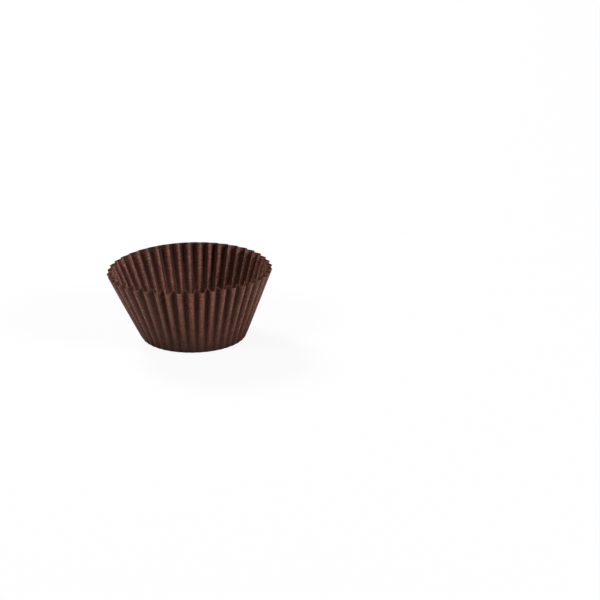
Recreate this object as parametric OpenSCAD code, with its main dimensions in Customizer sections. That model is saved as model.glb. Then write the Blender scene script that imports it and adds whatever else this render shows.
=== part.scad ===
// Paper candy cup: one disc of thin glassine paper, pressed into a flat base and a fluted wall.
// The paper does not stretch, so the flutes take up the spare length of the disc at every height.
// The origin is the middle of the base's underside, with +Z up and the front towards -Y.

/* [Paper] */
// Thickness of the paper, in mm
paper_t = 0.06; // [0.04:0.01:0.12]
// Width of the paper from the base's edge to the rim, measured down the slope, in mm
wall_slope = 19; // [12:0.1:26]

/* [Base] */
// Diameter of the base, where the base and the wall would meet in a sharp corner, in mm
base_d = 25.4; // [20:0.1:34]
// Radius of the pressed bend between the base and the wall, inside the paper, in mm
heel_r = 0.9; // [0.4:0.1:2]

/* [Wall] */
// Lean of the wall outwards from upright, along the middle of its flutes, in degrees
flare = 19.8; // [10:0.1:35]
// Extra lean at the two sides, taken from the front and back, that makes the mouth oval, in degrees
oval = 2; // [0:0.1:4]
// Extra lean at the left side, taken from the right one, in degrees
slant = 2.8; // [0:0.1:4]

/* [Flutes] */
// Number of flutes round the wall
flutes = 42; // [30:1:56]
// How much broader the outer folds are than the inner ones, from 0 for evenly wide folds
fold_bias = 0.1; // [0:0.01:0.22]
// Depth of the rounded folds as a share of that of sharp V folds of the same paper
fold_depth = 0.86; // [0.5:0.01:1]

/* [Hidden] */

// Points along one flute, rings along the bend, and rings up the wall as shares of its slope
flute_steps = 8;
heel_steps = 3;
wall_shares = [0.1, 0.3, 0.62, 1];
round_steps = flutes * flute_steps;

// Radius of the bend on the middle line of the paper
bend_r = heel_r + paper_t / 2;

// Direction round the cup of a point, counted from the front fold and turning to the right
function turn(i) = 360 * i / round_steps;

// Lean of the wall at that direction
function lean(i) = flare - oval * cos(2 * turn(i)) - slant * sin(turn(i));

// Radius at which the flat base ends and the bend begins
function flat_r(i) = base_d / 2 - bend_r * tan((90 - lean(i)) / 2);

// Straight run of the wall above the bend
function run(i) = wall_slope - bend_r * tan((90 - lean(i)) / 2);

// Middle line of the paper before it is fluted: [radius, height, tilt of the paper, flat radius on the disc]
function bend_at(i, share) =
    let (t = share * (90 - lean(i)))
    [flat_r(i) + bend_r * sin(t), bend_r * (1 - cos(t)), t, flat_r(i) + bend_r * t * PI / 180];

function wall_at(i, share) =
    let (foot = bend_at(i, 1), s = share * run(i))
    [foot[0] + s * sin(lean(i)), foot[1] + s * cos(lean(i)), foot[2], foot[3] + s];

// Depth from inner to outer fold: sharp V folds of this depth would use up the disc's length at this ring
function depth(at) = fold_depth * PI * at[0] / flutes * sqrt(max(0, pow(at[3] / at[0], 2) - 1));

// Shape of a flute from its outer fold, 1, through its inner fold, -1, and back
function wave(i) =
    let (a = 360 * i / flute_steps)
    cos(a) + fold_bias * (1 - cos(2 * a));

// Point of the fluted middle surface
function fluted(i, at) =
    let (off = depth(at) / 2 * wave(i), r = at[0] + off * sin(at[2]))
    [r * sin(turn(i)), -r * cos(turn(i)), at[1] - off * cos(at[2])];

// Rings of the bend and the wall, from the base to the rim
function ring_at(i, j) = j <= heel_steps ? bend_at(i, j / heel_steps) : wall_at(i, wall_shares[j - heel_steps - 1]);
last_ring = heel_steps + len(wall_shares);

function mid(i, j) = fluted(i, ring_at(i, j));

// Outward direction square to the fluted paper
function across(i, j) =
    let (
        side = mid(i + 1, j) - mid(i - 1, j),
        up = mid(i, min(j + 1, last_ring)) - mid(i, max(j - 1, 0)),
        n = j == 0 ? [0, 0, -1] : cross(side, up)
    )
    n / norm(n);

// One face of the paper, ring by ring from the base's edge to the rim: side is 1 outside and -1 inside
function skin(side) = [
    for (j = [0:last_ring], i = [0:round_steps - 1])
        mid(i, j) + side * paper_t / 2 * across(i, j)
];
skin_points = (last_ring + 1) * round_steps;

// The flat base as one face, and two triangles for each step round and up the wall
function skin_faces(first) = [
    [for (i = [0:round_steps - 1]) first + i],
    for (j = [0:last_ring - 1], i = [0:round_steps - 1])
        let (
            a = first + j * round_steps + i,
            b = first + j * round_steps + (i + 1) % round_steps,
            c = a + round_steps,
            d = b + round_steps
        )
        each [[b, a, d], [d, a, c]]
];

function turned(faces) = [
    for (face = faces)
        [for (k = [len(face) - 1:-1:0]) face[k]]
];

// The cut edge of the paper along the rim
rim_faces = [
    for (i = [0:round_steps - 1])
        let (
            a = last_ring * round_steps + i,
            b = last_ring * round_steps + (i + 1) % round_steps
        )
        each [[b, a, a + skin_points], [b, a + skin_points, b + skin_points]]
];

module paper_cup() {
    color([0.27, 0.15, 0.12])
        translate([0, 0, paper_t / 2])
            polyhedron(
                points = concat(skin(1), skin(-1)),
                faces = concat(skin_faces(0), turned(skin_faces(skin_points)), rim_faces),
                convexity = 6
            );
}

paper_cup();
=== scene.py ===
import math
import random

import bmesh
import bpy
from mathutils import Matrix, Vector


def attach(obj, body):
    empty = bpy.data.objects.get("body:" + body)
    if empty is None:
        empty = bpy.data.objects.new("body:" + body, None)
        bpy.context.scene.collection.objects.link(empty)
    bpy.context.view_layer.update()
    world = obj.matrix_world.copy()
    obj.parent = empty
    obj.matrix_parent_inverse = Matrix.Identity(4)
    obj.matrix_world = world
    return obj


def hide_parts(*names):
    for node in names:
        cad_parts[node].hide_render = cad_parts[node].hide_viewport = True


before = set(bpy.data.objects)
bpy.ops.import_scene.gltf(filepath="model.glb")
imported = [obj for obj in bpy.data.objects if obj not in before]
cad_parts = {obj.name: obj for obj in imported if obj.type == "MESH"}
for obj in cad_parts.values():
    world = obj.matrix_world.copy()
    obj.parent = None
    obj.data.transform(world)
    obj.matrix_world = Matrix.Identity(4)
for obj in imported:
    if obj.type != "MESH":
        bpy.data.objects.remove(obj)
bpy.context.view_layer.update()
scene = bpy.context.scene
scene.view_settings.view_transform = "Standard"


# camera: a long lens a little above the rim, with the cup left of the middle as in the photograph
view = {
    "imageWidth": 600,                 # pixels
    "pixelsPerMetre": 4025,            # at the cup
    "basePixel": (194.2, 335.4),       # where the middle of the base lands in the image
    "elevation": math.radians(19.9),
    "roll": math.radians(-0.8),
    "distance": 0.9,                   # metres
    "sensorWidth": 36,                 # millimetres
}


def addCamera(v):
    camera = bpy.data.objects.new("camera", bpy.data.cameras.new("camera"))
    scene.collection.objects.link(camera)
    facing = Matrix.Rotation(math.pi / 2 - v["elevation"], 3, "X") @ Matrix.Rotation(v["roll"], 3, "Z")
    right, up, back = facing.col
    middle = v["imageWidth"] / 2
    aside = (middle - v["basePixel"][0]) / v["pixelsPerMetre"]
    above = (v["basePixel"][1] - middle) / v["pixelsPerMetre"]
    place = right * aside + up * above + back * v["distance"]
    camera.matrix_world = Matrix.Translation(place) @ facing.to_4x4()
    camera.data.sensor_width = v["sensorWidth"]
    camera.data.lens = v["sensorWidth"] * v["distance"] * v["pixelsPerMetre"] / v["imageWidth"]
    camera.data.clip_start = 0.01
    scene.camera = camera


addCamera(view)
print("camera set")


# the cup: lengths in metres, angles in radians
mm = 0.001
cupSize = {
    "paper": 0.06 * mm,
    "baseRadius": 12.7 * mm,           # where base and wall would meet in a sharp corner
    "wallSlope": 19.0 * mm,
    "bendRadius": 0.93 * mm,
    "flare": math.radians(19.8),
    "oval": math.radians(2.0),         # more flare at the sides than at front and back
    "slant": math.radians(2.8),        # more flare at the left than at the right
    "flutes": 42,
    "foldBias": 0.1,                   # outer folds are a little broader than inner ones
    "foldDepth": 0.86,                 # share of the depth that sharp folds would have
}
cupMesh = {
    "stepsPerFlute": 20,
    "baseRings": 10,
    "baseCrowding": 0.7,               # below 1, the base's rings stand closer near its edge
    "bendRings": 7,
    "wallRings": 26,
    "mergeDistance": 0.001 * mm,
    "crease": math.radians(50),        # sharper edges are shaded as edges
    "cutFacesUp": 0.7,                 # the cut edge is what looks up at least this much
}
cupWear = {
    "seed": 5,
    "depth": 0.05,                     # share by which one flute is deeper than the next
    "place": 0.022,                    # share of a flute's width by which it sits aside
    "lean": math.radians(0.3),
    "hook": 0.025,                     # share of a flute's width by which its tip hangs over
    "fullCrest": 1.2 * mm,             # depth at which a fold gets the full painted light on its crest and painted shade in its groove
    "baseCrest": 0.45,                 # the flat base is rubbed about half as pale
    "baseCrestEdge": 6,                # the higher, the nearer to the bend the rubbed part goes
    "innerLightAndShade": 1.7,                 # painted light on the inner crests and painted shade in the inner grooves are stronger than outside
    "pressedPlace": 0.3,               # where in the bend the painted heel shade is darkest
    "pressedWidth": 2.2 * mm,          # how far the painted shade band spreads on either side
    "ringInset": 1.3 * mm,             # the press leaves a low ring round the base
    "ringWidth": 0.5 * mm,
    "ringHeight": 0.07 * mm,
}


def unevenRow(draw, count, spread):
    return [max(-2 * spread, min(2 * spread, draw.gauss(0, spread))) for flute in range(count)]


def rowAt(row, place):                 # smooth value between neighbouring flutes
    first = math.floor(place)
    share = 0.5 - 0.5 * math.cos(math.pi * (place - first))
    return row[first % len(row)] * (1 - share) + row[(first + 1) % len(row)] * share


def cutBlank(size, mesh):              # the flat disc of paper, still unpressed
    bend = math.pi / 2 - size["flare"]
    bendStart = size["baseRadius"] - size["bendRadius"] * math.tan(bend / 2)
    bendEnd = bendStart + size["bendRadius"] * bend
    edge = bendEnd + size["wallSlope"] - (size["baseRadius"] - bendStart)
    baseSteps = [(ring / mesh["baseRings"]) ** mesh["baseCrowding"] for ring in range(mesh["baseRings"])]
    bendSteps = [ring / mesh["bendRings"] for ring in range(mesh["bendRings"])]
    wallSteps = [ring / mesh["wallRings"] for ring in range(mesh["wallRings"] + 1)]
    radii = [bendStart * step for step in baseSteps]
    radii += [bendStart + (bendEnd - bendStart) * step for step in bendSteps]
    radii += [bendEnd + (edge - bendEnd) * step for step in wallSteps]
    bm = bmesh.new()
    spoke = [bm.verts.new((radius, 0, 0)) for radius in radii]
    ribs = [bm.edges.new(pair) for pair in zip(spoke, spoke[1:])]
    bmesh.ops.spin(bm, geom=spoke + ribs, cent=(0, 0, 0), axis=(0, 0, 1), angle=2 * math.pi,
                   steps=size["flutes"] * mesh["stepsPerFlute"], use_merge=True)
    bmesh.ops.remove_doubles(bm, verts=bm.verts, dist=mesh["mergeDistance"])
    bmesh.ops.recalc_face_normals(bm, faces=bm.faces)
    if bm.faces[:][0].normal.z > 0:    # the underside is the outside
        bmesh.ops.reverse_faces(bm, faces=bm.faces)
    blankUv = bm.loops.layers.uv.new("blank")
    for face in bm.faces:
        for loop in face.loops:
            flat = loop.vert.co
            loop[blankUv].uv = (0.5 + flat.x / edge / 2, 0.5 + flat.y / edge / 2)
    return bm


# where a point of the flat disc ends up, how far it is folded and rubbed there, and how much painted
# shade it gets at the heel
def pressPoint(radius, turn, size, wear, rows):
    fluteAngle = 2 * math.pi / size["flutes"]
    flute = turn / fluteAngle
    flare = size["flare"] - size["oval"] * math.cos(2 * turn) - size["slant"] * math.sin(turn)
    bend = math.pi / 2 - flare
    bendStart = size["baseRadius"] - size["bendRadius"] * math.tan(bend / 2)
    bent = min(max((radius - bendStart) / size["bendRadius"], 0), bend)
    up = max(radius - bendStart - size["bendRadius"] * bend, 0)
    flare += rowAt(rows["lean"], flute) * up / size["wallSlope"]
    out = min(radius, bendStart) + size["bendRadius"] * math.sin(bent) + up * math.sin(flare)
    high = size["bendRadius"] * (1 - math.cos(bent)) + up * math.cos(flare)
    depth = 0
    if radius > bendStart:             # the disc's spare length at this radius goes into the folds
        spare = math.sqrt(max((radius / out) ** 2 - 1, 0))
        depth = size["foldDepth"] * spare * out * fluteAngle / 2
    depth *= 1 + rowAt(rows["depth"], flute + 0.5)
    phase = 2 * math.pi * (flute + rowAt(rows["place"], flute))
    wave = math.cos(phase) + size["foldBias"] * (1 - math.cos(2 * phase))
    off = depth / 2 * wave
    out += off * math.sin(bent)
    high -= off * math.cos(bent)
    turn += rowAt(rows["hook"], flute) * up / size["wallSlope"] * wave * fluteAngle
    ring = (radius - bendStart + wear["ringInset"]) / wear["ringWidth"]
    high += wear["ringHeight"] * math.exp(-ring * ring)
    # the crest value puts painted light on the fold crests and painted shade in the grooves, the more so
    # the deeper the fold
    crest = wave * min(depth / wear["fullCrest"], 1)
    rubbed = wear["baseCrest"] * (1 - min(radius / bendStart, 1) ** wear["baseCrestEdge"])
    # painted shade along the heel, darkest at one place in the bend and fading on either side
    fromBend = abs(radius - bendStart - size["bendRadius"] * bend * wear["pressedPlace"])
    place = Vector((out * math.sin(turn), -out * math.cos(turn), high))
    return place, crest, rubbed, math.exp(-fromBend / wear["pressedWidth"])


def pressCup(bm, size, wear):
    draw = random.Random(wear["seed"])
    rows = {}
    for name in ("depth", "place", "lean", "hook"):
        rows[name] = unevenRow(draw, size["flutes"], wear[name])
    crest, rubbed, pressed = [bm.verts.layers.float.new(name) for name in ("crest", "rubbed", "pressed")]
    for vert in bm.verts:
        radius = math.hypot(vert.co.x, vert.co.y)
        turn = math.atan2(vert.co.x, -vert.co.y)
        vert.co, vert[crest], vert[rubbed], vert[pressed] = pressPoint(radius, turn, size, wear, rows)


def addPaper(bm, size, mesh, wear):    # thickness, with the sheet in its middle
    bm.normal_update()
    for vert in bm.verts:
        vert.co += vert.normal * size["paper"] / 2
    bmesh.ops.solidify(bm, geom=bm.verts[:] + bm.edges[:] + bm.faces[:], thickness=size["paper"])
    lowest = min(vert.co.z for vert in bm.verts)
    bmesh.ops.translate(bm, verts=bm.verts, vec=(0, 0, -lowest))
    bm.normal_update()
    crest, rubbed = [bm.verts.layers.float[name] for name in ("crest", "rubbed")]
    for vert in bm.verts:              # seen from inside, the inner folds are the crests, with stronger painted light and shade
        outAndDown = Vector((vert.co.x, vert.co.y, 0)).normalized() - Vector((0, 0, 1))
        if vert.normal.dot(outAndDown) < 0:
            vert[crest] *= -wear["innerLightAndShade"]
        vert[crest] += vert[rubbed]
    for edge in bm.edges:
        edge.smooth = edge.calc_face_angle(0) < mesh["crease"]
    cut = bm.faces.layers.float.new("cut")
    for face in bm.faces:              # the cut edge of the paper looks up, above the bend
        face.smooth = True
        aboveBend = face.calc_center_median().z > 2 * size["bendRadius"]
        face[cut] = 1 if aboveBend and face.normal.z > mesh["cutFacesUp"] else 0


def buildCup(size, mesh, wear):
    bm = cutBlank(size, mesh)
    pressCup(bm, size, wear)
    addPaper(bm, size, mesh, wear)
    data = bpy.data.meshes.new("flutedCup")
    bm.to_mesh(data)
    bm.free()
    cup = bpy.data.objects.new("flutedCup", data)
    scene.collection.objects.link(cup)
    return cup


cup = buildCup(cupSize, cupMesh, cupWear)
print("cup pressed,", sum(len(face.vertices) - 2 for face in cup.data.polygons), "triangles")


# paper: dark brown glassine with a satin finish; its crests get painted light and its grooves painted
# shade
paperLook = {
    "discSize": 63.4 * mm,             # across the flat disc
    # the groove colour holds painted shade and the crest colour painted light on the ridges
    "groove": (0.092, 0.0325, 0.0210, 1),
    "crest": (0.180, 0.0790, 0.0600, 1),
    "crestRange": (0.0, 1.55),         # where on a fold the painted light of the crest starts and is full
    "grooveShadeRange": (-1.7, 0.1),          # painted shade: the bottom of a fold is darker, most of all inside
    "grooveShadeTone": 0.45,                  # share of the tone that the painted shade leaves there
    "pressedTone": 0.12,               # share of the tone left where the painted heel shade is darkest
    "noiseRange": (0.3, 0.7),          # where most of the noise's values lie
    "cloudSize": 2.6 * mm,
    "cloudDetail": 3,
    "cloudStretch": 2.2,
    "cloudTurn": math.radians(38),
    "cloudRange": (0.80, 1.18),
    "fleckSize": 0.42 * mm,
    "fleckDetail": 3,
    "fleckBand": (0.49, 0.66),         # how dense the noise is where a fleck starts and is full
    "fleckGain": (0.45, 1.30),         # how much paler a fleck is, in a groove and on a crest
    "plainTone": 0.88,                 # between the flecks
    "grainSize": 0.16 * mm,
    "grainDetail": 2,
    "grainHeight": 0.4,                # beside that of a fleck
    "roughness": (0.40, 0.55),
    "cutRoughness": 0.95,              # the cut edge is dull
    "gloss": 0.14,
    "bumpHeight": 0.02 * mm,
    "bumpStrength": 0.35,
}


def addNoise(nodes, links, coords, look, name):
    noise = nodes.new("ShaderNodeTexNoise")
    noise.inputs["Scale"].default_value = look["discSize"] / look[name + "Size"]
    noise.inputs["Detail"].default_value = look[name + "Detail"]
    links.new(coords, noise.inputs["Vector"])
    return noise.outputs["Fac"]


def addRange(nodes, links, value, source, target, smooth=False):
    spread = nodes.new("ShaderNodeMapRange")
    spread.interpolation_type = "SMOOTHSTEP" if smooth else "LINEAR"
    for name, number in zip(("From Min", "From Max", "To Min", "To Max"), (*source, *target)):
        spread.inputs[name].default_value = number
    links.new(value, spread.inputs["Value"])
    return spread.outputs["Result"]


def addMath(nodes, links, operation, first, second):
    result = nodes.new("ShaderNodeMath")
    result.operation = operation
    for socket, value in zip(result.inputs, (first, second)):
        if isinstance(value, (int, float)):
            socket.default_value = value
        else:
            links.new(value, socket)
    return result.outputs["Value"]


def makePaper(look):
    paper = bpy.data.materials.new("brownGlassine")
    paper.use_nodes = True
    nodes, links = paper.node_tree.nodes, paper.node_tree.links
    shader = nodes["Principled BSDF"]
    shader.inputs["Specular IOR Level"].default_value = look["gloss"]
    flat = nodes.new("ShaderNodeUVMap")
    flat.uv_map = "blank"
    drawn = nodes.new("ShaderNodeMapping")
    drawn.inputs["Rotation"].default_value = (0, 0, look["cloudTurn"])
    drawn.inputs["Scale"].default_value = (1, look["cloudStretch"], 1)
    links.new(flat.outputs["UV"], drawn.inputs["Vector"])
    clouds = addNoise(nodes, links, drawn.outputs["Vector"], look, "cloud")
    flecks = addNoise(nodes, links, flat.outputs["UV"], look, "fleck")
    grain = addNoise(nodes, links, drawn.outputs["Vector"], look, "grain")
    fold = nodes.new("ShaderNodeAttribute")
    fold.attribute_name = "crest"
    # how much of the painted crest light a point gets
    litRidge = addRange(nodes, links, fold.outputs["Fac"], look["crestRange"], (0, 1), smooth=True)
    tone = nodes.new("ShaderNodeMix")
    tone.data_type = "RGBA"
    tone.inputs["A"].default_value = look["groove"]
    tone.inputs["B"].default_value = look["crest"]
    links.new(litRidge, tone.inputs["Factor"])
    cloudTone = addRange(nodes, links, clouds, look["noiseRange"], look["cloudRange"])
    fleckMask = addRange(nodes, links, flecks, look["fleckBand"], (0, 1), smooth=True)
    fleckGain = addRange(nodes, links, litRidge, (0, 1), look["fleckGain"])
    fleckTone = addMath(nodes, links, "MULTIPLY", fleckMask, fleckGain)
    fleckTone = addMath(nodes, links, "ADD", fleckTone, look["plainTone"])
    # painted shade at the bottoms of the folds
    grooveShadeTone = addRange(nodes, links, fold.outputs["Fac"], look["grooveShadeRange"], (look["grooveShadeTone"], 1))
    level = addMath(nodes, links, "MULTIPLY", cloudTone, fleckTone)
    level = addMath(nodes, links, "MULTIPLY", level, grooveShadeTone)
    # painted shade along the heel's bend
    bend = nodes.new("ShaderNodeAttribute")
    bend.attribute_name = "pressed"
    heelShadeLevel = addRange(nodes, links, bend.outputs["Fac"], (0, 1), (1, look["pressedTone"]))
    level = addMath(nodes, links, "MULTIPLY", level, heelShadeLevel)
    shaded = nodes.new("ShaderNodeVectorMath")
    shaded.operation = "SCALE"
    links.new(tone.outputs["Result"], shaded.inputs["Vector"])
    links.new(level, shaded.inputs["Scale"])
    links.new(shaded.outputs["Vector"], shader.inputs["Base Color"])
    cut = nodes.new("ShaderNodeAttribute")
    cut.attribute_name = "cut"
    dullness = addMath(nodes, links, "MULTIPLY", cut.outputs["Fac"], look["cutRoughness"])
    satin = addRange(nodes, links, grain, look["noiseRange"], look["roughness"])
    links.new(addMath(nodes, links, "MAXIMUM", satin, dullness), shader.inputs["Roughness"])
    grainHeight = addMath(nodes, links, "MULTIPLY", grain, look["grainHeight"])
    height = addMath(nodes, links, "ADD", grainHeight, flecks)
    bump = nodes.new("ShaderNodeBump")
    bump.inputs["Distance"].default_value = look["bumpHeight"]
    bump.inputs["Strength"].default_value = look["bumpStrength"]
    links.new(height, bump.inputs["Height"])
    links.new(bump.outputs["Normal"], shader.inputs["Normal"])
    return paper


cup.data.materials.append(makePaper(paperLook))
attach(cup, "root")
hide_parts("paper_cup")
print("paper finished")


# floor, world and lamps
stageLook = {
    "floorSize": 3.0,                  # metres
    "floorColor": (0.72, 0.72, 0.72, 1),
    "floorRoughness": 0.9,
    "floorGloss": 0.1,
    "shadowShare": 0.10,               # how much of the floor's own shading the camera sees
    "ambient": 0.05,
    "lampDistance": 0.85,
    "lampSize": 0.30,
}
lamps = {                              # turn is counted from the front to the right, power in watts
    "key": {"turn": math.radians(-150), "elevation": math.radians(40), "power": 7.1},
    "front": {"turn": math.radians(60), "elevation": math.radians(30), "power": 5.3},
    "fill": {"turn": math.radians(-50), "elevation": math.radians(45), "power": 3.2},
}


def makeFloor(look):
    bm = bmesh.new()
    bmesh.ops.create_grid(bm, x_segments=1, y_segments=1, size=look["floorSize"] / 2)
    data = bpy.data.meshes.new("floor")
    bm.to_mesh(data)
    bm.free()
    floor = bpy.data.objects.new("floor", data)
    scene.collection.objects.link(floor)
    material = bpy.data.materials.new("paleFloor")
    material.use_nodes = True
    nodes, links = material.node_tree.nodes, material.node_tree.links
    shader = nodes["Principled BSDF"]
    shader.inputs["Base Color"].default_value = look["floorColor"]
    shader.inputs["Roughness"].default_value = look["floorRoughness"]
    shader.inputs["Specular IOR Level"].default_value = look["floorGloss"]
    white = nodes.new("ShaderNodeEmission")
    ray = nodes.new("ShaderNodeLightPath")
    share = nodes.new("ShaderNodeMath")
    share.operation = "MULTIPLY"
    share.inputs[1].default_value = 1 - look["shadowShare"]
    mix = nodes.new("ShaderNodeMixShader")
    links.new(ray.outputs["Is Camera Ray"], share.inputs[0])
    links.new(share.outputs["Value"], mix.inputs["Fac"])
    links.new(shader.outputs["BSDF"], mix.inputs[1])
    links.new(white.outputs["Emission"], mix.inputs[2])
    links.new(mix.outputs["Shader"], nodes["Material Output"].inputs["Surface"])
    data.materials.append(material)


def makeWorld(look):
    world = bpy.data.worlds.new("studio")
    scene.world = world
    world.use_nodes = True
    nodes, links = world.node_tree.nodes, world.node_tree.links
    air = nodes["Background"]
    air.inputs["Strength"].default_value = look["ambient"]
    air.inputs["Color"].default_value = (1, 1, 1, 1)
    white = nodes.new("ShaderNodeBackground")
    white.inputs["Color"].default_value = (1, 1, 1, 1)
    ray = nodes.new("ShaderNodeLightPath")
    mix = nodes.new("ShaderNodeMixShader")
    links.new(ray.outputs["Is Camera Ray"], mix.inputs["Fac"])
    links.new(air.outputs["Background"], mix.inputs[1])
    links.new(white.outputs["Background"], mix.inputs[2])
    links.new(mix.outputs["Shader"], nodes["World Output"].inputs["Surface"])


def addLamp(name, lamp, look):
    light = bpy.data.lights.new(name, "AREA")
    light.shape = "DISK"
    light.size = look["lampSize"]
    light.energy = lamp["power"]
    item = bpy.data.objects.new(name, light)
    towards = Vector((0, -1, 0))
    towards.rotate(Matrix.Rotation(-lamp["elevation"], 3, "X"))
    towards.rotate(Matrix.Rotation(lamp["turn"], 3, "Z"))
    item.location = towards * look["lampDistance"]
    item.rotation_euler = (-towards).to_track_quat("-Z", "Y").to_euler()
    scene.collection.objects.link(item)


makeFloor(stageLook)
makeWorld(stageLook)
for name, lamp in lamps.items():
    addLamp(name, lamp, stageLook)
print("stage lit")
